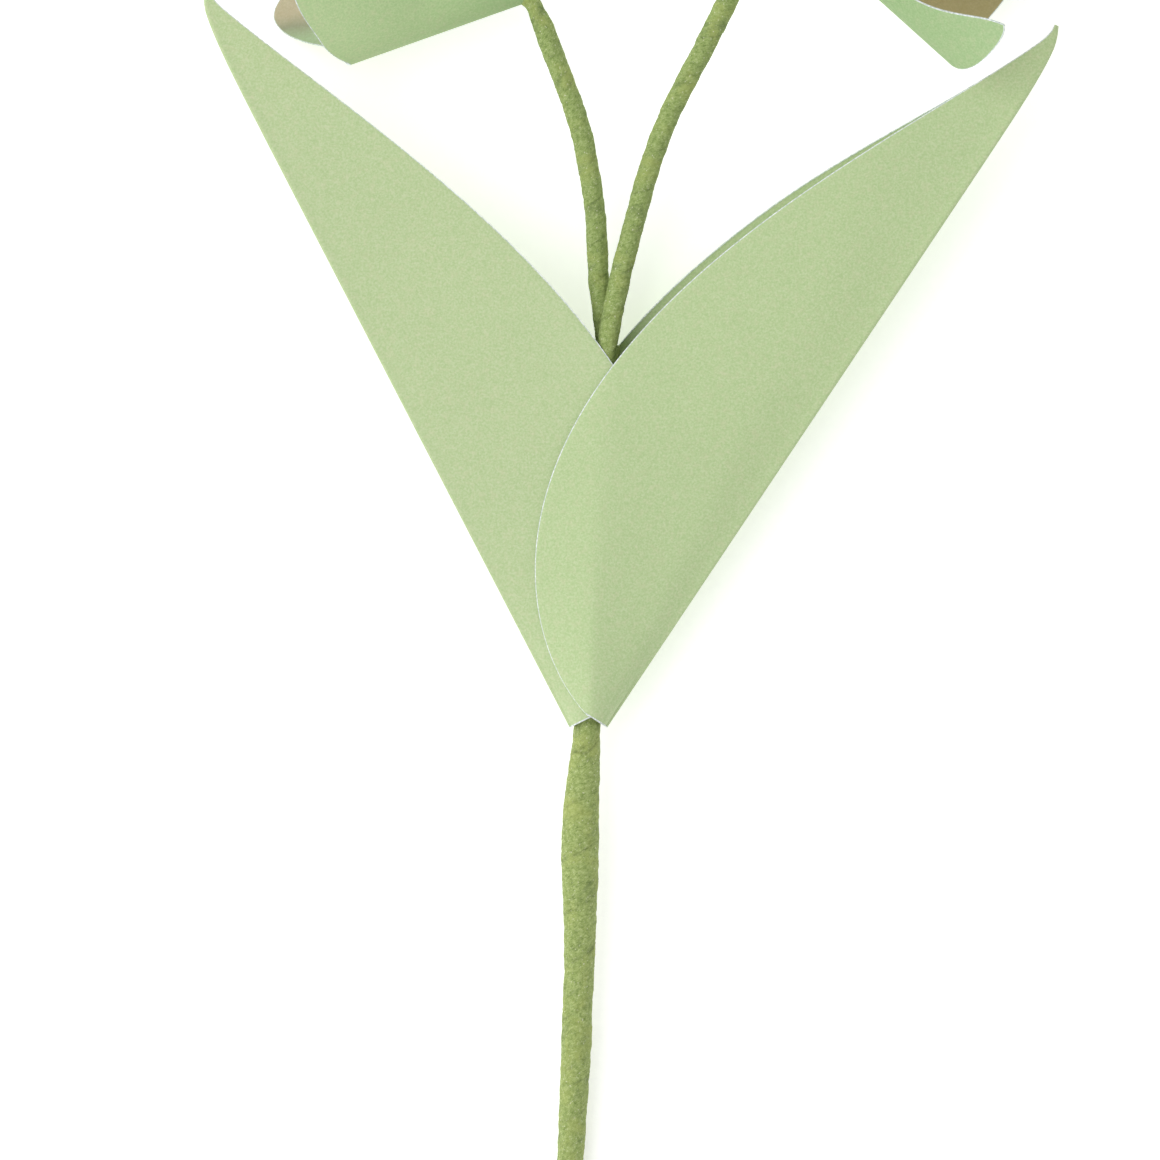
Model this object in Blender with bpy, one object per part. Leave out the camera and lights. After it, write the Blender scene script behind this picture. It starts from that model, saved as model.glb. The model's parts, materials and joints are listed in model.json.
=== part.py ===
"""Paper flower on taped florist wire: two blooms, two folded leaves, one wrapped stem.

Metres, +Z up. The flower lies on its back, as it comes to rest: +Y runs from the foot of
the stem towards the blooms, +X to the right, and it touches the table with the foot and
with the lowest petal of each bloom. The origin is under the middle of the whole flower.
"""
from math import cos, pi, radians, sin

import bmesh
import bpy
from mathutils import Vector

MM = 0.001

# Card and wire
CARD = 0.30 * MM            # thickness of the leaf and petal card
WIRE_RADIUS = 0.45 * MM
LUMEN_RADIUS = 0.78 * MM    # hollow of the tape round one wire

# Stem, foot to fork: plan position (x, y), half width and half depth of the tape, in mm
STEM_STATIONS = [
    (-2.0, -106.0, 2.1, 2.3), (-1.5, -92.8, 2.1, 2.3), (-1.1, -84.8, 2.2, 2.3),
    (-0.7, -76.8, 2.35, 2.4), (-0.4, -68.8, 2.35, 2.4), (-0.1, -60.8, 2.4, 2.5),
    (0.0, -52.8, 2.65, 2.6), (0.0, -44.8, 2.95, 2.7), (0.2, -36.8, 2.8, 2.6),
    (0.7, -29.6, 2.45, 2.4), (1.1, -24.6, 2.1, 2.3), (1.5, -10.0, 1.85, 2.2),
    (2.3, 8.0, 1.9, 2.4), (3.3, 24.0, 2.0, 2.8), (4.25, 37.6, 2.15, 3.4),
]
FORK_HEIGHT = 12.6 * MM     # of the stem's centre line over the table
FOOT_CAP = 1.2 * MM         # thickness of the tape folded over the foot
STEM_RINGS = 28

# Branches: plan positions from the fork up to the bloom
LEFT_BRANCH_PLAN = [(4.2, 38.2), (3.0, 48.2), (2.5, 57.9), (1.4, 65.6), (-0.3, 73.4),
                    (-4.2, 84.0), (-6.7, 90.4)]
RIGHT_BRANCH_PLAN = [(4.4, 38.2), (6.4, 48.2), (9.3, 59.5), (11.8, 68.0), (15.3, 76.5),
                     (20.8, 87.0), (25.6, 97.0), (28.2, 104.6)]
BRANCH_RADIUS = 1.55 * MM
BRANCH_TIP_RADIUS = 1.05 * MM
BRANCH_TAPER = 7.0 * MM    # length over which the tape thins towards the bloom
BRANCH_INTO_BLOOM = 7.0 * MM
BRANCH_RINGS = 30
FORK_RISE = 1.88 * MM       # each wire's height above or below the fork's centre
WIRE_RISE = 0.78 * MM       # the same, lower down in the stem
TUBE_SIDES = 12
WIRE_SIDES = 6

# Blooms: a cone of petals. Angles in degrees; azimuths are counted from +X
CONE = 36.0                 # angle between a petal and the bloom's axis
SQUASH = 0.38               # how much flatter than round a bloom is at its mouth
SQUASH_LENGTH = 22.0 * MM   # distance from the apex over which it flattens
PETAL_START = 2.75 * MM     # distance of an outer petal's foot from the cone's apex
CORNER_ROUNDING = 0.03      # share of its length that a petal loses at its corners
INNER_CONE = 21.0
INNER_START = 5.2 * MM
INNER_HALF_ANGLE = 50.0
INNER_NARROWING = 0.3
INNER_ENDS = (18.0, 23.6, 26.0, 23.6, 18.0)
PETAL_ROWS = 9
PETAL_COLUMNS = 13

# side is +1 where the lower edge of the bloom lies to the left of its axis, seen from above.
# Petals: centre and half angle round the axis, narrowing towards the foot, and five lengths
# in mm from the apex to the cut end, evenly spread from one side of the petal to the other
BLOOMS = {
    "left": {
        "apex": (-7.65, 92.75), "edge_azimuth": 199.5, "side": 1,
        "petals": {
            "near": (44, 68, 0.20, (33.0, 31.2, 38.0, 47.8, 43.0)),
            "low": (-84, 46, 0.30, (33.0, 38.5, 42.0, 48.4, 35.0)),
            "far": (172, 46, 0.30, (32.0, 41.0, 44.0, 41.0, 32.0)),
        },
    },
    "right": {
        "apex": (30.25, 108.65), "edge_azimuth": -42.0, "side": -1,
        "petals": {
            "near": (21, 35, 0.42, (37.0, 39.7, 42.8, 46.3, 50.1)),
            "low": (-88, 68, 0.25, (40.0, 50.0, 53.0, 45.0, 36.0)),
            "far": (122, 50, 0.30, (36.0, 44.0, 46.0, 43.0, 36.0)),
        },
    },
}

# Leaves: an outline of length, width of one half, and the powers by which it widens from
# the base and narrows towards the tip; folded along its straight edge
LEAF_FIRST = 0.0035         # the base is snipped off square just above the point
LEAF_LAST = 0.996
FOLD_BOW = 2.0 * MM         # how far the fold bows out of the straight line
FOLD_BOW_POWER = 24         # keeps the bow up to just below the tip
TIP_WIDTH = 0.5 * MM
FOLD_RADIUS = 0.34 * MM
LEAF_ROWS = 34
LEAF_COLUMNS = 12
TENT_HEIGHT = 3.25 * MM     # from the stem's axis to the inner face of the leaves over it
LEAVES = {
    "left": {
        "base": (-1.3, -24.0), "tip": (-59.7, 92.8), "turn": -1, "layer": 0.0, "hook": 0.9,
        "length": 132.9, "width": 32.6, "rise": 0.51, "fall": 1.19,
    },
    "right": {
        "base": (3.95, -23.95), "tip": (76.2, 87.5), "turn": 1, "layer": 0.68, "hook": 0.8,
        "length": 134.4, "width": 30.8, "rise": 0.59, "fall": 1.22,
    },
}
NEST_CLEARANCE = 0.6 * MM   # least height of the outer leaf's face over the inner one's
HOOK_START = 0.965          # share of the length where the tip starts to curl inwards
BACK_EXTRA = 1.3 * MM       # the right leaf's back half shows this far past its front half

GREEN_CARD = (0.46, 0.60, 0.31)
PETAL_GREEN = (0.40, 0.54, 0.26)
TAPE_GREEN = (0.27, 0.36, 0.12)
STEEL = (0.45, 0.45, 0.46)


def clear_scene():
    for item in list(bpy.data.objects):
        bpy.data.objects.remove(item, do_unlink=True)


def make_material(name, colour, roughness, metallic=0.0):
    material = bpy.data.materials.new(name)
    material.use_nodes = True
    shader = material.node_tree.nodes["Principled BSDF"]
    shader.inputs["Base Color"].default_value = (*colour, 1.0)
    shader.inputs["Roughness"].default_value = roughness
    shader.inputs["Metallic"].default_value = metallic
    return material


def add_object(name, mesh, material, parent):
    mesh.materials.append(material)
    mesh.shade_smooth()
    mesh.set_sharp_from_angle(angle=radians(40))
    item = bpy.data.objects.new(name, mesh)
    item.parent = parent
    bpy.context.collection.objects.link(item)
    return item


def smooth_step(value):
    value = min(max(value, 0.0), 1.0)
    return value * value * (3 - 2 * value)


def interpolate(points, fraction):
    """Catmull-Rom through a list of vectors or numbers, fraction 0 to 1 over the list."""
    last = len(points) - 1
    place = min(max(fraction, 0.0), 1.0) * last
    index = min(int(place), last - 1)
    t = place - index
    p1, p2 = points[index], points[index + 1]
    p0 = points[index - 1] if index > 0 else p1 * 2 - p2
    p3 = points[index + 2] if index + 2 <= last else p2 * 2 - p1
    bend = p0 * 2 - p1 * 5 + p2 * 4 - p3
    return (p1 * 2 + (p2 - p0) * t + bend * t * t + (p1 * 3 - p0 - p2 * 3 + p3) * t ** 3) * 0.5


def bloom_frame(bloom):
    """Axis, sideways and upward unit vectors of a bloom's cone, which lies level."""
    azimuth = radians(bloom["edge_azimuth"] - bloom["side"] * CONE)
    axis = Vector((cos(azimuth), sin(azimuth), 0.0))
    turn = azimuth + bloom["side"] * pi / 2
    return axis, Vector((cos(turn), sin(turn), 0.0)), Vector((0.0, 0.0, 1.0))


def petal_point(bloom, cone, petal, start, s, v):
    """Point of a petal from its cone's apex: s runs foot to end, v across from -1 to 1."""
    centre, half, narrowing, ends = petal
    axis, sideways, upward = bloom_frame(bloom)
    end = interpolate(ends, (v + 1) / 2) * (1 - CORNER_ROUNDING * v ** 12) * MM
    along = start + (end - start) * s
    width = 1 - narrowing * smooth_step((1 - s) / 0.45)
    theta = radians(centre + half * v * width)
    flat = 1 - SQUASH * smooth_step(along / SQUASH_LENGTH)
    outward = sideways * cos(theta) + upward * sin(theta) * flat
    return (axis * cos(radians(cone)) + outward * sin(radians(cone))) * along


def petal_grid(bloom, cone, petal, start):
    return [[petal_point(bloom, cone, petal, start, row / PETAL_ROWS, 2 * column / PETAL_COLUMNS - 1)
             for column in range(PETAL_COLUMNS + 1)] for row in range(PETAL_ROWS + 1)]


def bloom_height(bloom):
    """Height of the cone's apex that lets the lowest petal just touch the table."""
    lowest = min(point.z for petal in bloom["petals"].values()
                 for row in petal_grid(bloom, CONE, petal, PETAL_START) for point in row)
    return CARD / 2 - lowest


def stem_height(y):
    """Height of the stem's centre line over the table, a straight slope."""
    foot_y, foot_z = STEM_STATIONS[0][1] * MM, STEM_STATIONS[0][3] * MM
    fork_y = STEM_STATIONS[-1][1] * MM
    slope = (FORK_HEIGHT - foot_z) / (fork_y - foot_y)
    return foot_z + slope * (y - foot_y)


def stem_path(count):
    plan = [Vector((x * MM, y * MM)) for x, y, _, _ in STEM_STATIONS]
    path = []
    for index in range(count + 1):
        spot = interpolate(plan, index / count)
        path.append(Vector((spot.x, spot.y, stem_height(spot.y))))
    return path


def branch_path(plan, bloom, rise, count):
    """Centre line of a branch, from just above the fork into the bloom's throat."""
    axis = bloom_frame(bloom)[0]
    apex = Vector((bloom["apex"][0] * MM, bloom["apex"][1] * MM, bloom_height(bloom)))
    start_y, end_y = plan[0][1] * MM, plan[-1][1] * MM
    start_z = stem_height(start_y) + rise
    knots = []
    for x, y in plan:
        share = (y * MM - start_y) / (end_y - start_y)
        knots.append(Vector((x * MM, y * MM, start_z + (apex.z - start_z) * smooth_step(share))))
    knots.append(apex + axis * 1.2 * MM)
    knots.append(apex + axis * BRANCH_INTO_BLOOM)
    return [interpolate(knots, index / count) for index in range(count + 1)]


def ring(centre, tangent, half_width, half_depth, sides):
    across = tangent.cross(Vector((0, 0, 1))).normalized()
    over = across.cross(tangent).normalized()
    return [centre + across * half_width * cos(2 * pi * k / sides) + over * half_depth * sin(2 * pi * k / sides)
            for k in range(sides)]


def tangents(path):
    result = []
    for index in range(len(path)):
        before = path[max(index - 1, 0)]
        after = path[min(index + 1, len(path) - 1)]
        result.append((after - before).normalized())
    return result


def loft(name, rings):
    """Closed mesh through a row of rings, with a flat cap at both ends."""
    bm = bmesh.new()
    loops = [[bm.verts.new(point) for point in points] for points in rings]
    sides = len(loops[0])
    for lower, upper in zip(loops, loops[1:]):
        for k in range(sides):
            n = (k + 1) % sides
            bm.faces.new((lower[k], lower[n], upper[n], upper[k]))
    bm.faces.new(loops[0])
    bm.faces.new(loops[-1])
    bmesh.ops.recalc_face_normals(bm, faces=bm.faces)
    mesh = bpy.data.meshes.new(name)
    bm.to_mesh(mesh)
    bm.free()
    return mesh


def sleeve(name, path, outer, inner, cap):
    """Tape sleeve with an open first end and a closed last end.

    outer and inner give the half width and half depth at each point of the path.
    """
    ways = tangents(path)
    outside = [ring(p, t, *outer(i), TUBE_SIDES) for i, (p, t) in enumerate(zip(path, ways))]
    length, stop = 0.0, len(path) - 1
    while length < cap:
        length += (path[stop] - path[stop - 1]).length
        stop -= 1
    inside = [ring(path[i], ways[i], *inner(i), TUBE_SIDES) for i in range(stop + 1)]
    return loft(name, inside[::-1] + outside)


def wire(name, path):
    return loft(name, [ring(p, t, WIRE_RADIUS, WIRE_RADIUS, WIRE_SIDES)
                       for p, t in zip(path, tangents(path))])


def fork_spread(y):
    """Height of a wire off the stem's centre line: wide at the fork, close lower down."""
    fork_y = STEM_STATIONS[-1][1] * MM
    return WIRE_RISE + (FORK_RISE - WIRE_RISE) * smooth_step(1 - (fork_y - y) / (14 * MM))


def build_stem(root, tape):
    path = stem_path(STEM_RINGS)[::-1]
    widths = [station[2] for station in STEM_STATIONS]
    depths = [station[3] for station in STEM_STATIONS]

    def outer(i):
        share = 1 - i / STEM_RINGS
        return interpolate(widths, share) * MM, interpolate(depths, share) * MM

    def inner(i):
        return LUMEN_RADIUS, fork_spread(path[i].y) + LUMEN_RADIUS

    add_object("main_stem_tape", sleeve("main_stem_tape", path, outer, inner, FOOT_CAP), tape, root)


def build_branch(name, plan, bloom, rise, root, tape, steel):
    path = branch_path(plan, bloom, rise, BRANCH_RINGS)
    left_over = [sum((b - a).length for a, b in zip(path[i:], path[i + 1:])) for i in range(len(path))]

    def outer(i):
        share = smooth_step((left_over[i] - BRANCH_INTO_BLOOM) / BRANCH_TAPER + 0.2)
        radius = BRANCH_TIP_RADIUS + (BRANCH_RADIUS - BRANCH_TIP_RADIUS) * share
        return radius, radius

    def inner(_):
        return LUMEN_RADIUS, LUMEN_RADIUS

    mesh = sleeve(name + "_branch_tape", path, outer, inner, 1.0 * MM)
    add_object(name + "_branch_tape", mesh, tape, root)

    side = 1 if rise > 0 else -1
    run = [p for p in stem_path(STEM_RINGS) if p.y < path[0].y - 1.5 * MM][1:]
    run[0] = run[0].lerp(run[1], 0.1)
    lower = [Vector((p.x, p.y, p.z + side * fork_spread(p.y))) for p in run]
    upper = [p for i, p in enumerate(path) if left_over[i] > 2.4 * MM]
    add_object(name + "_wire", wire(name + "_wire", lower + upper), steel, root)


def leaf_axes(leaf):
    """Foot of the fold, and the plan directions along it and across it."""
    base = Vector((leaf["base"][0] * MM, leaf["base"][1] * MM))
    tip = Vector((leaf["tip"][0] * MM, leaf["tip"][1] * MM))
    along = (tip - base).normalized()
    return base, along, Vector((-along.y, along.x)) * leaf["turn"]


def fold_bow(t):
    return FOLD_BOW * t * (1 - t ** FOLD_BOW_POWER)


def fold_point(leaf, t):
    base, along, inward = leaf_axes(leaf)
    hook = leaf["hook"] * MM * (max(t - HOOK_START, 0) / (1 - HOOK_START)) ** 2
    return base + along * leaf["length"] * MM * t + inward * (hook - fold_bow(t)), inward


def leaf_width(leaf, t):
    """Width of one half, from the bowed fold to the cut edge."""
    rise, fall = leaf["rise"], leaf["fall"]
    peak = rise / (rise + fall)
    top = peak ** rise * (1 - peak) ** fall
    width = leaf["width"] * MM * t ** rise * (1 - t) ** fall / top
    return max(width + fold_bow(t), TIP_WIDTH)


def stem_x(y):
    """Plan position of the stem, which the leaves' faces are draped over."""
    for (x0, y0, _, _), (x1, y1, _, _) in zip(STEM_STATIONS, STEM_STATIONS[1:]):
        if y <= y1 * MM or y1 == STEM_STATIONS[-1][1]:
            share = (y - y0 * MM) / ((y1 - y0) * MM)
            return (x0 + (x1 - x0) * share) * MM


def fold_distance(leaf, spot):
    """Distance of a plan point from a leaf's straight fold."""
    base, _, inward = leaf_axes(leaf)
    return (spot - base).dot(inward)


def tent(spot):
    """Height over the stem's axis plane of a sheet draped from both folds over the stem."""
    share, power = 1.0, 1.0
    middle = Vector((stem_x(spot.y), spot.y))
    for leaf in LEAVES.values():
        reach = max(fold_distance(leaf, middle), 1.9 * MM)
        ratio = min(max(fold_distance(leaf, spot) / reach, 0.0), 1.0)
        if ratio < share:
            share = ratio
        power = max(power, 1 + min(1.0, (2.2 * MM / reach) ** 1.5))
    return TENT_HEIGHT * (1 - (1 - share) ** power) ** (1 / power)


def layer_height(leaf, spot):
    middle = Vector((stem_x(spot.y), spot.y))
    ramp = max(0.3 * fold_distance(leaf, middle), 0.7 * MM)
    return leaf["layer"] * MM * smooth_step(fold_distance(leaf, spot) / ramp)


def trimmed_width(leaf, fold, inward, width):
    """Width of the inner leaf's half that lies clear within the outer leaf's fold."""
    outer = LEAVES["right"]
    while leaf is not outer and layer_height(outer, fold + inward * width) < NEST_CLEARANCE:
        width -= 0.1 * MM
    return width


def build_leaf(name, leaf, root, card):
    """Card folded along a straight edge, its halves in front of and behind the stem."""
    bm = bmesh.new()
    rows = []
    for row in range(LEAF_ROWS + 1):
        share = row / LEAF_ROWS
        t = LEAF_FIRST + (LEAF_LAST - LEAF_FIRST) * (share ** 1.45)
        fold, inward = fold_point(leaf, t)
        points = []
        for half in (-1, 1):
            width = trimmed_width(leaf, fold, inward, leaf_width(leaf, t))
            if half < 0 and leaf["turn"] > 0:
                width += BACK_EXTRA * smooth_step((t - 0.05) / 0.25) * smooth_step((0.92 - t) / 0.3)
            cells = []
            for column in range(LEAF_COLUMNS + 1):
                reach = FOLD_RADIUS + (width - FOLD_RADIUS) * column / LEAF_COLUMNS
                spot = fold + inward * reach
                height = FOLD_RADIUS + tent(spot) + layer_height(leaf, spot)
                cells.append(Vector((spot.x, spot.y, stem_height(spot.y) + half * height)))
            edge = fold + inward * FOLD_RADIUS * 0.3
            lift = half * FOLD_RADIUS * 0.72
            cells.insert(0, Vector((edge.x, edge.y, stem_height(edge.y) + lift)))
            points.append(cells)
        middle = Vector((fold.x, fold.y, stem_height(fold.y)))
        rows.append(points[0][::-1] + [middle] + points[1])
    loops = [[bm.verts.new(point) for point in points] for points in rows]
    for lower, upper in zip(loops, loops[1:]):
        for k in range(len(lower) - 1):
            bm.faces.new((lower[k], lower[k + 1], upper[k + 1], upper[k]))
    bmesh.ops.recalc_face_normals(bm, faces=bm.faces)
    mesh = bpy.data.meshes.new(name)
    bm.to_mesh(mesh)
    bm.free()
    thicken(add_object(name, mesh, card, root))


def thicken(item):
    wall = item.modifiers.new("card", "SOLIDIFY")
    wall.thickness = CARD
    wall.offset = 0.0
    wall.use_even_offset = True


def build_petal(name, bloom, cone, petal, start, root, card):
    apex = Vector((bloom["apex"][0] * MM, bloom["apex"][1] * MM, bloom_height(bloom)))
    bm = bmesh.new()
    grid = [[bm.verts.new(apex + point) for point in row] for row in petal_grid(bloom, cone, petal, start)]
    for lower, upper in zip(grid, grid[1:]):
        for k in range(len(lower) - 1):
            bm.faces.new((lower[k], lower[k + 1], upper[k + 1], upper[k]))
    bmesh.ops.recalc_face_normals(bm, faces=bm.faces)
    mesh = bpy.data.meshes.new(name)
    bm.to_mesh(mesh)
    bm.free()
    thicken(add_object(name, mesh, card, root))


def build_bloom(name, bloom, root, card):
    centres = sorted(petal[0] % 360 for petal in bloom["petals"].values())
    for label, petal in bloom["petals"].items():
        build_petal(f"{name}_petal_{label}", bloom, CONE, petal, PETAL_START, root, card)
    for number in range(3):
        first, second = centres[number], centres[(number + 1) % 3]
        middle = (first + ((second - first) % 360) / 2) % 360
        inner = (middle, INNER_HALF_ANGLE, INNER_NARROWING, INNER_ENDS)
        build_petal(f"{name}_inner_petal_{number + 1}", bloom, INNER_CONE, inner, INNER_START, root, card)


def centre_on_origin(root):
    """Move the whole flower so that its box's bottom centre is the origin."""
    bpy.context.view_layer.update()
    graph = bpy.context.evaluated_depsgraph_get()
    corners = []
    for item in root.children:
        shape = item.evaluated_get(graph)
        corners += [shape.matrix_world @ Vector(corner) for corner in shape.bound_box]
    low = [min(corner[axis] for corner in corners) for axis in range(3)]
    high = [max(corner[axis] for corner in corners) for axis in range(3)]
    root.location = (-(low[0] + high[0]) / 2, -(low[1] + high[1]) / 2, -low[2])


def main():
    clear_scene()
    root = bpy.data.objects.new("flower", None)
    bpy.context.collection.objects.link(root)
    leaf_card = make_material("leaf card", GREEN_CARD, 0.75)
    petal_card = make_material("petal card", PETAL_GREEN, 0.75)
    tape = make_material("florist tape", TAPE_GREEN, 0.85)
    steel = make_material("wire", STEEL, 0.35, 1.0)

    build_stem(root, tape)
    build_branch("left", LEFT_BRANCH_PLAN, BLOOMS["left"], -FORK_RISE, root, tape, steel)
    build_branch("right", RIGHT_BRANCH_PLAN, BLOOMS["right"], FORK_RISE, root, tape, steel)
    for name, leaf in LEAVES.items():
        build_leaf(name + "_leaf", leaf, root, leaf_card)
    for name, bloom in BLOOMS.items():
        build_bloom(name, bloom, root, petal_card)
    centre_on_origin(root)


main()
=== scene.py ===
import json
import math
import bpy
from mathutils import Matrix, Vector, noise


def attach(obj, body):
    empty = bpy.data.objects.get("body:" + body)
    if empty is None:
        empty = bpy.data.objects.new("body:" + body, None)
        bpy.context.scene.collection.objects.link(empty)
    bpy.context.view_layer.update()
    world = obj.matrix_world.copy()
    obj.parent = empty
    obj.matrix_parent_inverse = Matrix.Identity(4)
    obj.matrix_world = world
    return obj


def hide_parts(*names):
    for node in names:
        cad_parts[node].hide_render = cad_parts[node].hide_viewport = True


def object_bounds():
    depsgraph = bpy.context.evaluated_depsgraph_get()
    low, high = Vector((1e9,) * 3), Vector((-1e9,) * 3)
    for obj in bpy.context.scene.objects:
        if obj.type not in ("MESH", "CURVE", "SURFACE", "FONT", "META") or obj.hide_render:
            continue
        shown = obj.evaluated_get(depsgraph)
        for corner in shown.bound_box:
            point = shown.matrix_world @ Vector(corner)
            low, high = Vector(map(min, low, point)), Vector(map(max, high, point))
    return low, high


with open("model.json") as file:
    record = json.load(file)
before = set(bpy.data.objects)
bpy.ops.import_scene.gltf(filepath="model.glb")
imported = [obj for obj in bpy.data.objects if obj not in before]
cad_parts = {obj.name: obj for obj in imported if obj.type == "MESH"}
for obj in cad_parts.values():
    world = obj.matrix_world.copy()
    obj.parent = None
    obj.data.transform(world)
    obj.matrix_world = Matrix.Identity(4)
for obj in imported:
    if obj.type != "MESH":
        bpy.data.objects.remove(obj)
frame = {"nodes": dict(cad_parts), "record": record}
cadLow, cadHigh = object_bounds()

bpy.ops.object.select_all(action="DESELECT")
mm = 0.001
footPlan = Vector((-2.0, -106.0, 2.3)) * mm  # centre of the stem's foot in the flower's own plan
footMount = [m for m in frame["record"]["mounts"] if m["name"] == "stem_foot"][0]
shift = Vector(footMount["pos_m"]) - footPlan  # from the plan to the frame


def smoothStep(value):
    value = min(max(value, 0.0), 1.0)
    return value * value * (3 - 2 * value)


def throughPoints(points, fraction):
    # smooth curve through evenly counted points or numbers
    last = len(points) - 1
    place = min(max(fraction, 0.0), 1.0) * last
    i = min(int(place), last - 1)
    t = place - i
    b, c = points[i], points[i + 1]
    a = points[i - 1] if i > 0 else b * 2 - c
    d = points[i + 2] if i + 2 <= last else c * 2 - b
    bend = a * 2 - b * 5 + c * 4 - d
    return (b * 2 + (c - a) * t + bend * t * t + (b * 3 - a - c * 3 + d) * t ** 3) * 0.5


def hexColour(text):
    # sRGB hex to the linear values that shaders work in
    channels = [int(text[i:i + 2], 16) / 255 for i in (1, 3, 5)]
    return [c / 12.92 if c <= 0.04045 else ((c + 0.055) / 1.055) ** 2.4 for c in channels] + [1.0]


def addNode(tree, kind, settings=None, inputs=None):
    # one node, with its settings and with values or links on its inputs
    made = tree.nodes.new(kind)
    for key, value in (settings or {}).items():
        setattr(made, key, value)
    for key, value in (inputs or {}).items():
        if isinstance(value, bpy.types.NodeSocket):
            tree.links.new(value, made.inputs[key])
        else:
            made.inputs[key].default_value = value
    return made


def colourRamp(tree, factor, stops, ease="LINEAR"):
    ramp = addNode(tree, "ShaderNodeValToRGB", inputs={"Fac": factor})
    ramp.color_ramp.interpolation = ease
    while len(ramp.color_ramp.elements) < len(stops):
        ramp.color_ramp.elements.new(0.5)
    for element, (place, colour) in zip(ramp.color_ramp.elements, stops):
        element.position = place
        element.color = hexColour(colour) if isinstance(colour, str) else [colour] * 3 + [1.0]
    return ramp.outputs["Color"]


def mixColour(tree, factor, first, second, blend="MIX"):
    mix = addNode(tree, "ShaderNodeMix", {"data_type": "RGBA", "blend_type": blend})
    for index, value in ((0, factor), (6, first), (7, second)):
        if isinstance(value, bpy.types.NodeSocket):
            tree.links.new(value, mix.inputs[index])
        else:
            mix.inputs[index].default_value = value
    return mix.outputs[2]


def newMaterial(name, roughness, specular=0.5):
    material = bpy.data.materials.new(name)
    material.use_nodes = True
    tree = material.node_tree
    shader = tree.nodes["Principled BSDF"]
    shader.inputs["Roughness"].default_value = roughness
    shader.inputs["Specular IOR Level"].default_value = specular
    return material, tree, shader


cardLook = {
    "leafLeft": ("#adc38e", "#b7ca98", "#c3d1a7"),
    # the right leaf's card is a touch greener than the left's, and is also painted a little lighter, painted light
    # against the shade on its slope
    "leafRightPaintedLighter": ("#afc790", "#b9ce99", "#c6d6a9"),
    # the left petals' card is painted lighter than the right's, painted light that makes up for the shade on petals
    # turned from the key; the right bloom's card is also a touch greener
    "petalLeftPaintedLighter": ("#b2cd95", "#bbd49c", "#c8daa7"),
    "petalRight": ("#9bb984", "#a4c08c", "#b1c796"),
    "warm": "#dccfb4",      # the odd pale and pinkish fibres
    "mottle": 0.34 * mm,    # size of the cloudy grain
    "tooth": 0.16 * mm,     # the felt marks of uncoated card
    "toothDepth": 0.05 * mm,
    # inside of the petals: the foot's green, the thin ink and the full ink; on the left the middle colour is
    # painted shade, a grey-brown band darker than both ends
    "insideLeft": ("#afc59f", "#a1a48b", "#c3b99e"),
    "insideRight": ("#a8bb92", "#b3ae88", "#bdb182"),
}


def cardGrain(tree, colours):
    # uncoated dyed card: cloudy fibres with a few pale and pinkish ones, so no two spots are alike
    spot = addNode(tree, "ShaderNodeTexCoord").outputs["Object"]
    cloud = addNode(tree, "ShaderNodeTexNoise", inputs={
        "Vector": spot, "Scale": 1 / cardLook["mottle"], "Detail": 4.0, "Roughness": 0.62})
    base = colourRamp(tree, cloud.outputs["Fac"], [(0.34, colours[0]), (0.50, colours[1]), (0.66, colours[2])])
    fibre = addNode(tree, "ShaderNodeTexNoise", inputs={
        "Vector": spot, "Scale": 0.30 / cardLook["mottle"], "Detail": 6.0, "Roughness": 0.72})
    warm = colourRamp(tree, fibre.outputs["Fac"], [(0.48, 0.0), (0.74, 0.26)])
    tinted = mixColour(tree, warm, base, hexColour(cardLook["warm"]))
    drift = addNode(tree, "ShaderNodeTexNoise", inputs={"Vector": spot, "Scale": 38.0, "Detail": 2.0})
    shade = colourRamp(tree, drift.outputs["Fac"], [(0.3, 0.965), (0.7, 1.0)])
    return mixColour(tree, 1.0, tinted, shade, "MULTIPLY"), spot


def cardTooth(tree, shader, spot):
    tooth = addNode(tree, "ShaderNodeTexNoise", inputs={
        "Vector": spot, "Scale": 1 / cardLook["tooth"], "Detail": 3.0, "Roughness": 0.6})
    bump = addNode(tree, "ShaderNodeBump", inputs={
        "Height": tooth.outputs["Fac"], "Strength": 0.22, "Distance": cardLook["toothDepth"]})
    tree.links.new(bump.outputs["Normal"], shader.inputs["Normal"])


def makeLeafCard(name, colours):
    # craft card dyed through its faces, calendered but uncoated: matte with the faintest sheen
    material, tree, shader = newMaterial(name, 0.72, 0.3)
    colour, spot = cardGrain(tree, colours)
    tree.links.new(colour, shader.inputs["Base Color"])
    cardTooth(tree, shader, spot)
    return material


def makeCardCore():
    # the cut edge bares the undyed bleached core, a thin bluish white line
    material, tree, shader = newMaterial("bleached card core", 0.85, 0.3)
    spot = addNode(tree, "ShaderNodeTexCoord").outputs["Object"]
    fray = addNode(tree, "ShaderNodeTexNoise", inputs={"Vector": spot, "Scale": 2600.0, "Detail": 4.0})
    colour = colourRamp(tree, fray.outputs["Fac"], [(0.30, "#b4c1b4"), (0.48, "#d3dcd8"), (0.64, "#eff3f6")])
    tree.links.new(colour, shader.inputs["Base Color"])
    return material


def makePetalOutside(name, colours, footTint):
    # the same card, a touch deeper towards the glued foot
    material, tree, shader = newMaterial(name, 0.70, 0.3)
    colour, spot = cardGrain(tree, colours)
    sheet = addNode(tree, "ShaderNodeTexCoord").outputs["UV"]
    along = addNode(tree, "ShaderNodeSeparateXYZ", inputs={"Vector": sheet}).outputs["Y"]
    deeper = colourRamp(tree, along, [(0.05, 1.0), (0.9, 0.0)])
    tinted = mixColour(tree, deeper, colour, mixColour(tree, 1.0, colour, hexColour(footTint), "MULTIPLY"))
    tree.links.new(tinted, shader.inputs["Base Color"])
    cardTooth(tree, shader, spot)
    return material


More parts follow.
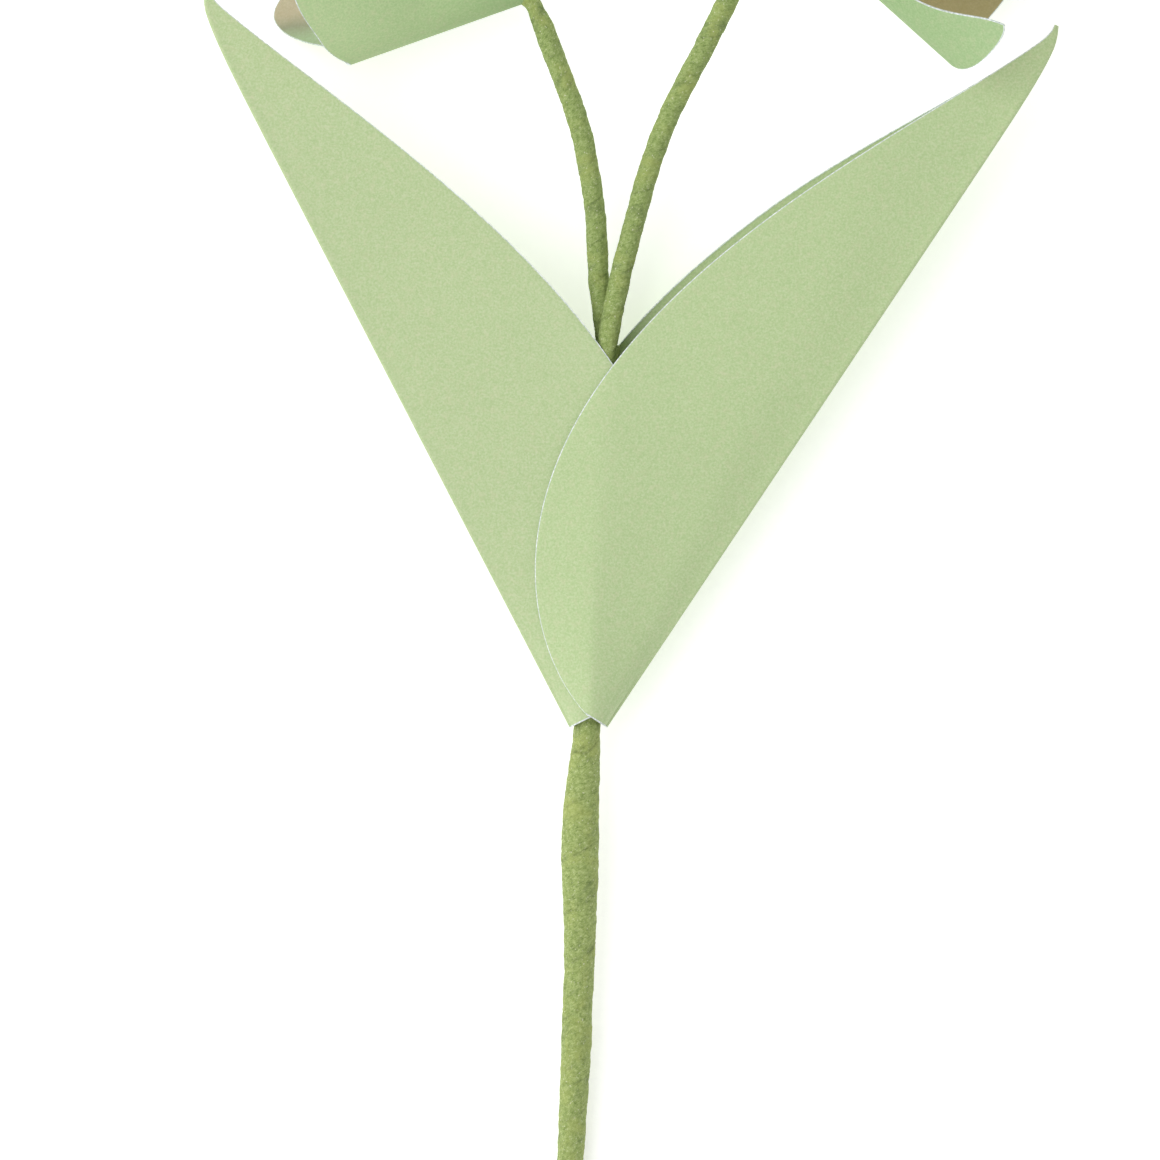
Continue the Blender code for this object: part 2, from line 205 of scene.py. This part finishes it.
def makePetalInside(name, colours):
    # brushed with thin brown ink on the inside, strongest at the rim, so green still shows low down
    material, tree, shader = newMaterial(name, 0.74, 0.3)
    grain, spot = cardGrain(tree, ("#f0f2ea", "#f7f8f2", "#ffffff"))
    wash = addNode(tree, "ShaderNodeTexNoise", inputs={"Vector": spot, "Scale": 160.0, "Detail": 3.0})
    amount = addNode(tree, "ShaderNodeVertexColor", {"layer_name": "wash"}).outputs["Color"]
    uneven = addNode(tree, "ShaderNodeMath", {"operation": "MULTIPLY_ADD"}, {
        0: wash.outputs["Fac"], 1: 0.30, 2: -0.15})
    summed = addNode(tree, "ShaderNodeMath", {"operation": "ADD", "use_clamp": True}, {
        0: amount, 1: uneven.outputs[0]})
    # on the left insides the middle stop is painted shade, a darker band where the green meets the ink
    ink = colourRamp(tree, summed.outputs[0], [(0.1, colours[0]), (0.5, colours[1]), (0.9, colours[2])])
    tree.links.new(mixColour(tree, 1.0, ink, grain, "MULTIPLY"), shader.inputs["Base Color"])
    cardTooth(tree, shader, spot)
    return material


tapeLook = {
    "main": ("#566b32", "#9bad65", "#d2dda0"),
    "branch": ("#566b34", "#95a962", "#c5d198"),
    "yellow": "#b2bb69",
    "shadow": "#6a7a4c",
    "fleck": "#d9dcb9",
    "fibre": 0.21 * mm,      # width of a fibre bundle in the crepe
    "slant": 32.0,           # degrees between the fibres and the girth
    "relief": 0.3 * mm,
}


def makeTape(name, colours, girth, length, turns):
    # stretched crepe paper tape with wax: matted fibres, olive and darker patches, faint laps, and painted shade
    # along the crease
    material, tree, shader = newMaterial(name, 0.80, 0.3)
    sheet = addNode(tree, "ShaderNodeTexCoord").outputs["UV"]
    flat = addNode(tree, "ShaderNodeMapping", inputs={
        "Vector": sheet, "Scale": (girth, length, 1.0)}).outputs["Vector"]
    slant = addNode(tree, "ShaderNodeMapping", inputs={
        "Vector": flat, "Rotation": (0, 0, math.radians(tapeLook["slant"]))}).outputs["Vector"]
    long = addNode(tree, "ShaderNodeMapping", inputs={
        "Vector": slant, "Scale": (0.38, 1.0, 1.0)}).outputs["Vector"]

    def grain(vector, size, detail, roughness, distortion=0.0):
        return addNode(tree, "ShaderNodeTexNoise", inputs={
            "Vector": vector, "Scale": 1 / size, "Detail": detail, "Roughness": roughness,
            "Distortion": distortion}).outputs["Fac"]

    def sumOf(first, weight, rest):
        return addNode(tree, "ShaderNodeMath", {"operation": "MULTIPLY_ADD"}, {
            0: first, 1: weight, 2: rest}).outputs[0]

    fibres = grain(long, tapeLook["fibre"], 7.0, 0.72, 0.9)
    matted = grain(flat, 0.8 * mm, 9.0, 0.82, 0.3)
    total = sumOf(matted, 0.55, sumOf(fibres, 0.45, 0.0))
    colour = colourRamp(tree, total, [(0.35, colours[0]), (0.5, colours[1]), (0.66, colours[2])])
    olive = colourRamp(tree, grain(slant, 5.0 * mm, 4.0, 0.6, 0.5), [(0.48, 0.0), (0.66, 0.42)])
    colour = mixColour(tree, olive, colour, hexColour(tapeLook["yellow"]))
    deep = colourRamp(tree, grain(long, 2.6 * mm, 5.0, 0.65, 0.8), [(0.56, 0.0), (0.70, 0.6)])
    colour = mixColour(tree, deep, colour, hexColour(tapeLook["shadow"]))
    pale = colourRamp(tree, grain(slant, 0.42 * mm, 3.0, 0.5), [(0.63, 0.0), (0.70, 0.8)])
    colour = mixColour(tree, pale, colour, hexColour(tapeLook["fleck"]))
    parts = addNode(tree, "ShaderNodeSeparateXYZ", inputs={"Vector": sheet})
    lap = sumOf(parts.outputs["Y"], turns, parts.outputs["X"])
    phase = addNode(tree, "ShaderNodeMath", {"operation": "FRACT"}, {
        0: sumOf(grain(flat, 3.8 * mm, 3.0, 0.5), 0.16, lap)})
    seam = colourRamp(tree, phase.outputs[0], [
        (0.0, 0.72), (0.04, 0.94), (0.3, 1.0), (0.95, 1.0), (0.99, 0.78)])
    hidden = colourRamp(tree, grain(flat, 2.2 * mm, 3.0, 0.6), [(0.42, 0.0), (0.58, 0.85)])
    seam = mixColour(tree, hidden, seam, (1.0, 1.0, 1.0, 1.0))
    colour = mixColour(tree, 1.0, colour, seam, "MULTIPLY")
    # painted shade: the tape is darkened along the crease below the leaves, deepest in the fold
    creaseShadeDepth = addNode(tree, "ShaderNodeVertexColor", {"layer_name": "crease"}).outputs["Color"]
    paintedCreaseShade = colourRamp(tree, creaseShadeDepth, [(0.2, 1.0), (0.95, 0.68)])
    colour = mixColour(tree, 1.0, colour, paintedCreaseShade, "MULTIPLY")
    tree.links.new(colour, shader.inputs["Base Color"])
    bump = addNode(tree, "ShaderNodeBump", inputs={
        "Height": total, "Strength": 0.9, "Distance": tapeLook["relief"]})
    tree.links.new(bump.outputs["Normal"], shader.inputs["Normal"])
    return material


def makeWire():
    # annealed steel wire: drawn, so its scratches run lengthwise
    material, tree, shader = newMaterial("annealed steel wire", 0.38)
    shader.inputs["Metallic"].default_value = 1.0
    spot = addNode(tree, "ShaderNodeTexCoord").outputs["Object"]
    drawn = addNode(tree, "ShaderNodeMapping", inputs={"Vector": spot, "Scale": (1.0, 0.05, 1.0)}).outputs["Vector"]
    lines = addNode(tree, "ShaderNodeTexNoise", inputs={"Vector": drawn, "Scale": 9000.0, "Detail": 2.0})
    colour = colourRamp(tree, lines.outputs["Fac"], [(0.3, "#8b8b8d"), (0.7, "#b3b3b5")])
    tree.links.new(colour, shader.inputs["Base Color"])
    return material


leafCard = {
    "left": makeLeafCard("left leaf card", cardLook["leafLeft"]),
    "right": makeLeafCard("right leaf card painted lighter", cardLook["leafRightPaintedLighter"]),
}
cardCore = makeCardCore()
petalInside = {
    "left": makePetalInside("left petal ink wash and painted shade band", cardLook["insideLeft"]),
    "right": makePetalInside("right petal ink wash", cardLook["insideRight"]),
}
petalOutside = {
    "left": makePetalOutside("left petal card painted lighter", cardLook["petalLeftPaintedLighter"], "#dfe8dd"),
    "right": makePetalOutside("right petal card", cardLook["petalRight"], "#e4efe0"),
}
steelWire = makeWire()
for name in ("left_wire", "right_wire"):
    wire = frame["nodes"][name]
    wire.data.materials.clear()
    wire.data.materials.append(steelWire)
print("materials made")


def shapedGrid(name, columns, rows, place):
    # a flat grid whose points are then laid out by place(column, row)
    bpy.ops.object.select_all(action="DESELECT")
    bpy.ops.mesh.primitive_grid_add(x_subdivisions=columns, y_subdivisions=rows, size=1.0, location=(0, 0, 0))
    piece = bpy.context.object
    piece.name = name
    piece.data.name = name
    for vertex in piece.data.vertices:
        column = round((vertex.co.x + 0.5) * columns)
        row = round((vertex.co.y + 0.5) * rows)
        vertex.co = place(column, row) + shift
    return piece


def faceTowards(piece, direction, index):
    # turn the whole sheet over if a sample face looks the wrong way
    piece.data.update()
    if piece.data.polygons[index].normal.dot(direction) < 0:
        bpy.ops.object.mode_set(mode="EDIT")
        bpy.ops.mesh.select_all(action="SELECT")
        bpy.ops.mesh.flip_normals()
        bpy.ops.object.mode_set(mode="OBJECT")


def giveWall(piece, thickness, inside, rim):
    wall = piece.modifiers.new("card", "SOLIDIFY")
    wall.thickness = thickness
    wall.offset = 0.0
    wall.use_even_offset = True
    wall.material_offset = inside
    wall.material_offset_rim = rim
    bpy.ops.object.modifier_apply(modifier=wall.name)
    bpy.ops.object.shade_smooth_by_angle(angle=math.radians(50))


def finish(piece, slotName, *nodes):
    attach(piece, "root")
    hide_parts(*nodes)


stem = {
    # foot to fork: x, y, half width and half depth
    "stations": [
        (-2.0, -106.0, 2.1, 2.3), (-1.5, -92.8, 2.1, 2.3), (-1.1, -84.8, 2.2, 2.3),
        (-0.7, -76.8, 2.35, 2.4), (-0.4, -68.8, 2.35, 2.4), (-0.1, -60.8, 2.4, 2.5),
        (0.0, -52.8, 2.65, 2.6), (0.0, -44.8, 2.95, 2.7), (0.2, -36.8, 2.8, 2.6),
        (0.7, -29.6, 2.45, 2.4), (1.1, -24.6, 2.1, 2.3), (1.5, -10.0, 1.85, 2.2),
        (2.3, 8.0, 1.9, 2.4), (3.3, 24.0, 2.0, 2.8), (4.25, 37.6, 2.15, 3.4),
    ],
    "forkHeight": 12.6,
    "turns": 17,
    "lap": 0.15,        # step where a turn of tape lies on the last one
    # the crease below the leaves: its distance from the foot, where across the stem it turns upwards,
    # how steeply, and its depth and half width
    "crease": {"spot": 78.7, "turn": 0.3, "slant": 1.19, "depth": 0.22, "reach": 0.3},
    "sides": 64,
    "rings": 620,
}


def stemHeight(y):
    # straight slope of the stem's centre line, all in millimetres
    foot, fork = stem["stations"][0], stem["stations"][-1]
    return foot[3] + (stem["forkHeight"] - foot[3]) * (y - foot[1]) / (fork[1] - foot[1])


def stemX(y):
    stations = stem["stations"]
    for (x0, y0, _, _), (x1, y1, _, _) in zip(stations, stations[1:]):
        if y <= y1 or y1 == stations[-1][1]:
            return x0 + (x1 - x0) * (y - y0) / (y1 - y0)


leafShape = {
    "first": 0.0035, "last": 0.9955, "bow": 1.84, "bowPower": 24, "tipWidth": 0.5,
    "foldRadius": 0.34, "tent": 3.25, "thickness": 0.30, "hookStart": 0.965, "nest": 0.6,
    "coreStrip": 0.13,      # the bared core seen along the cut edge
    "ridgeShift": 0.5, "ridgeSoft": 0.05,
    "backExtra": 1.3, "rows": 150, "flat": 40, "arc": 4,
}
leaves = {
    "left": {"base": (-1.3, -24.0), "tip": (-59.7, 92.8), "turn": -1, "layer": 0.0, "hook": 1.0,
             "length": 132.82, "width": 32.6, "rise": 0.51, "fall": 1.19, "wave": 3.0},
    "right": {"base": (3.95, -23.95), "tip": (76.2, 87.5), "turn": 1, "layer": 0.68, "hook": 0.8,
              "length": 134.4, "width": 30.8, "rise": 0.59, "fall": 1.22, "wave": 11.0},
}


def leafAxes(leaf):
    base, tip = Vector(leaf["base"]), Vector(leaf["tip"])
    along = (tip - base).normalized()
    return base, along, Vector((-along.y, along.x)) * leaf["turn"]


def foldBow(t):
    return leafShape["bow"] * t * (1 - t ** leafShape["bowPower"])


def leafWidth(leaf, t):
    rise, fall = leaf["rise"], leaf["fall"]
    peak = rise / (rise + fall)
    top = peak ** rise * (1 - peak) ** fall
    return max(leaf["width"] * t ** rise * (1 - t) ** fall / top + foldBow(t), leafShape["tipWidth"])


def foldDistance(leaf, spot):
    base, along, inward = leafAxes(leaf)
    return (spot - base).dot(inward)


def tent(spot):
    # the sheets are draped from both folds over the round stem, with a soft ridge along it
    share, power = 1.0, 1.0
    middle = Vector((stemX(spot.y) + leafShape["ridgeShift"], spot.y))
    for leaf in leaves.values():
        reach = max(foldDistance(leaf, middle), 1.9)
        share = min(share, max(foldDistance(leaf, spot) / reach, 0.0))
        power = max(power, 1 + min(1.0, (2.2 / reach) ** 1.5))
    soft = leafShape["ridgeSoft"]
    left = math.sqrt((1 - share) ** 2 + soft ** 2) - soft
    left /= math.sqrt(1 + soft ** 2) - soft
    return leafShape["tent"] * (1 - left ** power) ** (1 / power)


def layerHeight(leaf, spot):
    middle = Vector((stemX(spot.y), spot.y))
    ramp = max(0.3 * foldDistance(leaf, middle), 0.7)
    return leaf["layer"] * smoothStep(foldDistance(leaf, spot) / ramp)


def trimmedWidth(leaf, fold, inward, width):
    # the left leaf is nested in the right one, so its base is cut to lie clear within that fold
    outer = leaves["right"]
    while leaf is not outer and layerHeight(outer, fold + inward * width) < leafShape["nest"]:
        width -= 0.1
    return width


def buildLeaf(side):
    leaf = leaves[side]
    base, along, inward = leafAxes(leaf)
    shape = leafShape
    reachColumns = shape["arc"] + shape["flat"] + 1   # fold arc, face, bared core
    radius = shape["foldRadius"]

    spine = []
    for row in range(shape["rows"] + 1):
        t = shape["first"] + (shape["last"] - shape["first"]) * (row / shape["rows"]) ** 1.3
        hook = leaf["hook"] * (max(t - shape["hookStart"], 0) / (1 - shape["hookStart"])) ** 2
        fold = base + along * leaf["length"] * t + inward * (hook - foldBow(t))
        spine.append((t, fold, trimmedWidth(leaf, fold, inward, leafWidth(leaf, t))))

    def place(column, row):
        t, fold, width = spine[row]
        k = column - reachColumns
        half = 1 if k >= 0 else -1
        step = abs(k)
        if half < 0 and leaf["turn"] > 0:
            width += shape["backExtra"] * smoothStep((t - 0.05) / 0.25) * smoothStep((0.92 - t) / 0.3)
        if step <= shape["arc"]:
            angle = math.pi / 2 * step / shape["arc"]
            reach, height = radius * (1 - math.cos(angle)), radius * math.sin(angle)
            drape = 0.0
        else:
            strip = min(shape["coreStrip"], 0.3 * (width - radius))
            part = (step - shape["arc"]) / shape["flat"]
            reach = radius + (width - strip - radius) * part
            if step == reachColumns:
                reach = width
            height, drape = radius, 1.0
        spot = fold + inward * reach
        if drape:
            wave = noise.noise(Vector((spot.x / 34, spot.y / 34, leaf["wave"] + half)))
            height += tent(spot) + layerHeight(leaf, spot)
            height += 0.25 * wave * smoothStep((reach - radius) / 12)
            if step == reachColumns:
                height -= 0.06
        return Vector((spot.x, spot.y, stemHeight(spot.y) + half * height)) * mm

    columns = 2 * reachColumns
    piece = shapedGrid(side + "_leaf_card", columns, shape["rows"], place)
    faceTowards(piece, Vector((0, 0, 1)), columns * (shape["rows"] // 2) + columns - 8)
    for material in (leafCard[side], leafCard[side], cardCore):
        piece.data.materials.append(material)
    for face in piece.data.polygons:
        column = face.index % columns
        face.material_index = 2 if column in (0, columns - 1) or face.index < columns else 0
    giveWall(piece, shape["thickness"] * mm, 0, 2)
    finish(piece, "leaf_card", side + "_leaf")


for side in leaves:
    buildLeaf(side)
print("leaves folded")


bloomShape = {
    "cone": 36.0, "squash": 0.38, "squashLength": 22.0, "corner": 0.03, "start": 1.5, "innerCone": 21.0,
    "innerStart": 5.2, "innerEnds": (18.0, 23.6, 26.0, 23.6, 18.0), "innerHalf": 50.0,
    "innerNarrowing": 0.3, "thickness": 0.28, "coreStrip": 0.16, "columns": 56, "rows": 64,
    "cornerPower": 12, "within": 0.997,     # the rims stop just within the physical model
}
# petals: centre, half angle, narrowing to the foot, and five lengths from one side to the other
blooms = {
    "left": {
        "apex": (-7.65, 92.75), "edgeAzimuth": 199.5, "side": 1, "branchNode": "left_branch_tape",
        "petals": {"near": (44, 68, 0.20, (33.0, 31.2, 38.0, 47.8, 43.0)),
                   "low": (-84, 46, 0.30, (33.0, 38.5, 42.0, 48.4, 35.0)),
                   "far": (172, 46, 0.30, (32.0, 41.0, 44.0, 41.0, 32.0))},
    },
    "right": {
        "apex": (30.25, 108.65), "edgeAzimuth": -42.0, "side": -1, "branchNode": "right_branch_tape",
        "petals": {"near": (21, 35, 0.42, (37.0, 39.7, 42.8, 46.3, 50.1)),
                   "low": (-88, 68, 0.25, (40.0, 50.0, 53.0, 45.0, 36.0)),
                   "far": (122, 50, 0.30, (36.0, 44.0, 46.0, 43.0, 36.0))},
    },
}


def bloomFrame(bloom):
    azimuth = math.radians(bloom["edgeAzimuth"] - bloom["side"] * bloomShape["cone"])
    turn = azimuth + bloom["side"] * math.pi / 2
    axis = Vector((math.cos(azimuth), math.sin(azimuth), 0.0))
    return axis, Vector((math.cos(turn), math.sin(turn), 0.0)), Vector((0.0, 0.0, 1.0))


def petalEnd(petal, v):
    rounded = 1 - bloomShape["corner"] * v ** bloomShape["cornerPower"]
    return throughPoints(petal[3], (v + 1) / 2) * rounded * bloomShape["within"]


def conePoint(bloom, cone, along, theta):
    # a bloom is round at its foot and flatter at its mouth
    axis, sideways, upward = bloomFrame(bloom)
    flat = 1 - bloomShape["squash"] * smoothStep(along / bloomShape["squashLength"])
    outward = sideways * math.cos(theta) + upward * math.sin(theta) * flat
    return (axis * math.cos(math.radians(cone)) + outward * math.sin(math.radians(cone))) * along


def apexHeight(bloom):
    # the lowest point of the outer petals lies on the table
    lowest = 0.0
    for petal in bloom["petals"].values():
        for step in range(-13, 14, 2):
            theta = math.radians(petal[0] + petal[1] * step / 13)
            end = petalEnd(petal, step / 13) / bloomShape["within"]
            lowest = min(lowest, conePoint(bloom, bloomShape["cone"], end, theta).z)
    return 0.15 - lowest


def buildPetal(side, label, petal, cone, start, node):
    bloom = blooms[side]
    columns, rows = bloomShape["columns"], bloomShape["rows"]
    apex = Vector((bloom["apex"][0], bloom["apex"][1], apexHeight(bloom)))
    centre, half, narrowing = petal[:3]
    strip = bloomShape["coreStrip"]

    def place(column, row):
        v = 2 * column / columns - 1
        v = v if 0 < column < columns else math.copysign(1.0, v)
        end = petalEnd(petal, v)
        along = start + (end - strip - start) * row / (rows - 1) if row < rows else end
        radius = max(along * math.sin(math.radians(cone)), 0.5)
        edge = strip / radius / math.radians(half)     # angle taken by the bared core
        inner = v * (1 - edge) * columns / (columns - 2) if 0 < column < columns else v
        width = 1 - narrowing * smoothStep((1 - row / rows) / 0.45)
        theta = math.radians(centre + half * inner * width)
        return (apex + conePoint(bloom, cone, along, theta)) * mm

    piece = shapedGrid(side + "_" + label, columns, rows, place)
    axis = bloomFrame(bloom)[0]
    outward = conePoint(bloom, cone, 1.0, math.radians(centre)) - axis * math.cos(math.radians(cone))
    faceTowards(piece, outward, columns * (rows // 2) + columns // 2)
    for material in (petalOutside[side], petalInside[side], cardCore):
        piece.data.materials.append(material)
    for face in piece.data.polygons:
        column, row = face.index % columns, face.index // columns
        face.material_index = 2 if column in (0, columns - 1) or row == rows - 1 else 0
    layer = piece.data.color_attributes.new("wash", "FLOAT_COLOR", "POINT")
    for vertex in piece.data.vertices:
        v = 2 * (vertex.index % (columns + 1)) / columns - 1
        s = (vertex.index // (columns + 1)) / rows
        fade = smoothStep((0.85 - v) / 0.42) if side == "left" and label == "petal_low_card" else 1.0
        amount = smoothStep((s - 0.25) / 0.6) * fade
        layer.data[vertex.index].color = (amount, amount, amount, 1.0)
    giveWall(piece, bloomShape["thickness"] * mm, 1, 2)
    finish(piece, "petal_card", node)


def buildBloom(side):
    bloom = blooms[side]
    for label, petal in bloom["petals"].items():
        buildPetal(side, "petal_" + label + "_card", petal, bloomShape["cone"], bloomShape["start"],
                   side + "_petal_" + label)
    centres = sorted(petal[0] % 360 for petal in bloom["petals"].values())
    for number in range(3):
        first, second = centres[number], centres[(number + 1) % 3]
        middle = (first + ((second - first) % 360) / 2) % 360
        petal = (middle, bloomShape["innerHalf"], bloomShape["innerNarrowing"], bloomShape["innerEnds"])
        buildPetal(side, f"inner_petal_{number + 1}_card", petal, bloomShape["innerCone"],
                   bloomShape["innerStart"], f"{side}_inner_petal_{number + 1}")


for side in blooms:
    buildBloom(side)
print("petals curled")


branches = {
    "left": {
        "plan": [(4.2, 38.2), (3.0, 48.2), (2.5, 57.9), (1.4, 65.6), (-0.3, 73.4), (-4.2, 84.0), (-6.7, 90.4)],
        "rise": -1.88, "turns": 11, "seed": 21.0,
    },
    "right": {
        "plan": [(4.4, 38.2), (6.4, 48.2), (9.3, 59.5), (11.8, 68.0), (15.3, 76.5), (20.8, 87.0),
                 (25.6, 97.0), (28.2, 104.6)],
        "rise": 1.88, "turns": 13, "seed": 35.0,
    },
    "start": 33.5,      # where each wire's own wrap begins, inside the main one
    "radius": 1.62, "tipRadius": 1.15, "taper": 7.0, "intoBloom": 7.0,
    "sides": 44, "rings": 380, "lap": 0.11,
}


def evenly(samples, count):
    # the same run of (centre, half width, half depth), at equal distances
    along = [0.0]
    for (before, _, _), (after, _, _) in zip(samples, samples[1:]):
        along.append(along[-1] + (after - before).length)
    spaced, i = [], 0
    for step in range(count + 1):
        goal = along[-1] * step / count
        while i < len(samples) - 2 and along[i + 1] < goal:
            i += 1
        part = (goal - along[i]) / (along[i + 1] - along[i])
        spaced.append([a + (b - a) * part for a, b in zip(samples[i], samples[i + 1])])
    return spaced, along[-1]


def buildTube(name, samples, rings, sides, turns, lap, seed, colours, node, crease=None):
    # a tube of wound tape: each turn steps up on the last, and the crepe is uneven
    stations, length = evenly(samples, rings)
    path = [station[0] for station in stations]
    ways = [(path[min(i + 1, rings)] - path[max(i - 1, 0)]).normalized() for i in range(rings + 1)]

    def creased(column, row):
        # how deep in the crease a point lies, from 0 to 1, on the upper side only
        if not crease:
            return 0.0
        inner = min(max(row - 2, 0), rings)
        angle = 2 * math.pi * column / sides - math.pi / 2
        slide = max(math.cos(angle) * stations[inner][1] - crease["turn"], 0.0) * crease["slant"]
        off = inner / rings * length - crease["spot"] - slide
        return max(math.sin(angle), 0.0) ** 0.5 * math.exp(-(off / crease["reach"]) ** 2)

    def place(column, row):
        inner = min(max(row - 2, 0), rings)
        close = 1.0 if 2 <= row <= rings + 2 else (0.0 if row in (0, rings + 4) else 0.8)
        centre, width, depth = stations[inner]
        way = ways[inner]
        across = way.cross(Vector((0, 0, 1))).normalized()
        over = across.cross(way).normalized()
        u = column / sides
        run = inner / rings * length
        angle = 2 * math.pi * u - math.pi / 2
        phase = (turns * inner / rings + u + 0.05) % 1.0
        step = lap * (0.5 - phase + smoothStep((phase - 0.94) / 0.06))
        x, y = math.cos(angle), math.sin(angle)
        rough = noise.noise(Vector((x * 1.6, y * 1.6, run / 1.7 + seed)))
        fine = noise.noise(Vector((x * 4, y * 4, run * 1.6 + seed)))
        fuzz = noise.noise(Vector((x * 9, y * 9, run * 4.0 + seed)))
        bump = step * 0.5 - abs(step) * 0.2 + rough * 0.13 + fine * 0.07 + fuzz * 0.045 + 0.04
        if crease:
            bump -= crease["depth"] * creased(column, row)
        bump = min(bump, run / 12 - 0.02)
        return (centre + (across * x * (width + bump) + over * y * (depth + bump)) * close) * mm

    piece = shapedGrid(name, sides, rings + 4, place)
    # the crease depth is kept on the points, for the painted shade in the tape's colour
    layer = piece.data.color_attributes.new("crease", "FLOAT_COLOR", "POINT")
    for vertex in piece.data.vertices:
        amount = creased(vertex.index % (sides + 1), vertex.index // (sides + 1))
        layer.data[vertex.index].color = (amount, amount, amount, 1.0)
    bpy.ops.object.mode_set(mode="EDIT")
    bpy.ops.mesh.select_all(action="SELECT")
    bpy.ops.mesh.remove_doubles(threshold=0.002 * mm)
    bpy.ops.mesh.normals_make_consistent(inside=False)
    bpy.ops.object.mode_set(mode="OBJECT")
    girth = 2 * math.pi * stations[rings // 2][1]
    piece.data.materials.append(makeTape(name + " crepe", colours, girth * mm, length * mm, turns))
    bpy.ops.object.shade_smooth_by_angle(angle=math.radians(60))
    finish(piece, "florist_tape", node)


def buildStem():
    fine = 40 * len(stem["stations"])
    samples = []
    for i in range(fine + 1):
        x, y, width, depth = [throughPoints(row, i / fine) for row in zip(*stem["stations"])]
        press = 1 - 0.16 * smoothStep((y - 34.5) / 3)      # pressed down on the branches
        samples.append((Vector((x, y, stemHeight(y))), width, depth * press))
    buildTube("main_stem_wrap", samples, stem["rings"], stem["sides"], stem["turns"], stem["lap"], 5.0,
              tapeLook["main"], "main_stem_tape", stem["crease"])


def buildBranch(side):
    branch, bloom = branches[side], blooms[side]
    axis = bloomFrame(bloom)[0]
    apex = Vector((bloom["apex"][0], bloom["apex"][1], apexHeight(bloom)))
    plan = branch["plan"]
    startY, endY = plan[0][1], plan[-1][1]
    startZ = stemHeight(startY) + branch["rise"]
    low = branches["start"]
    knots = [Vector((stemX(low), low, stemHeight(low) + branch["rise"]))]
    for x, y in plan:
        rise = smoothStep((y - startY) / (endY - startY))
        knots.append(Vector((x, y, startZ + (apex.z - startZ) * rise)))
    knots.append(apex + axis * 1.2)
    knots.append(apex + axis * branches["intoBloom"])
    path = [throughPoints(knots, i / 400) for i in range(401)]
    samples, rest = [], 0.0
    for i in range(400, -1, -1):
        rest += (path[i] - path[min(i + 1, 400)]).length
        thick = smoothStep((rest - branches["intoBloom"]) / branches["taper"] + 0.2)
        radius = branches["tipRadius"] + (branches["radius"] - branches["tipRadius"]) * thick
        samples.insert(0, (path[i], radius, radius))
    buildTube(side + "_branch_wrap", samples, branches["rings"], branches["sides"], branch["turns"],
              branches["lap"], branch["seed"], tapeLook["branch"], bloom["branchNode"])


buildStem()
for side in ("left", "right"):
    buildBranch(side)
print("tape wound")


stage = {
    "floor": 3.0, "glow": 0.34, "world": 0.65, "key": 11.2, "keySize": 1.5,
    "cameraHeight": 8.6,    # metres
    "viewWidth": 185.6,     # millimetres across the frame
}


def buildFloor():
    bpy.ops.object.select_all(action="DESELECT")
    bpy.ops.mesh.primitive_plane_add(size=stage["floor"], location=(0, 0, cadLow.z))
    floor = bpy.context.object
    floor.name = "floor"
    material, tree, shader = newMaterial("white paper ground", 0.9, 0.2)
    spot = addNode(tree, "ShaderNodeTexCoord").outputs["Object"]
    grain = addNode(tree, "ShaderNodeTexNoise", inputs={"Vector": spot, "Scale": 900.0, "Detail": 2.0})
    colour = colourRamp(tree, grain.outputs["Fac"], [(0.3, "#fafafa"), (0.7, "#ffffff")])
    tree.links.new(colour, shader.inputs["Base Color"])
    shader.inputs["Emission Color"].default_value = (1.0, 1.0, 1.0, 1.0)
    shader.inputs["Emission Strength"].default_value = stage["glow"]
    floor.data.materials.append(material)


def buildLight():
    world = bpy.data.worlds.new("studio")
    bpy.context.scene.world = world
    world.use_nodes = True
    background = world.node_tree.nodes["Background"]
    background.inputs["Color"].default_value = (1.0, 1.0, 1.0, 1.0)
    background.inputs["Strength"].default_value = stage["world"]
    bpy.ops.object.light_add(type="AREA", location=(-0.80, 0.10, 0.95))
    key = bpy.context.object
    key.name = "soft key"
    key.data.energy = stage["key"]
    key.data.size = stage["keySize"]
    key.rotation_euler = (-key.location).to_track_quat("-Z", "Y").to_euler()


def buildCamera():
    middle = Vector((shift.x, shift.y, 0.010))
    bpy.ops.object.camera_add(location=(middle.x, middle.y, stage["cameraHeight"]), rotation=(0, 0, 0))
    camera = bpy.context.object
    camera.data.sensor_width = 36.0
    distance = stage["cameraHeight"] - middle.z
    camera.data.lens = 36.0 * distance / (stage["viewWidth"] * mm)
    camera.data.clip_start = 0.05
    camera.data.clip_end = 20.0
    bpy.context.scene.camera = camera
    bpy.context.scene.view_settings.view_transform = "Standard"


buildFloor()
buildLight()
buildCamera()
print("stage set")
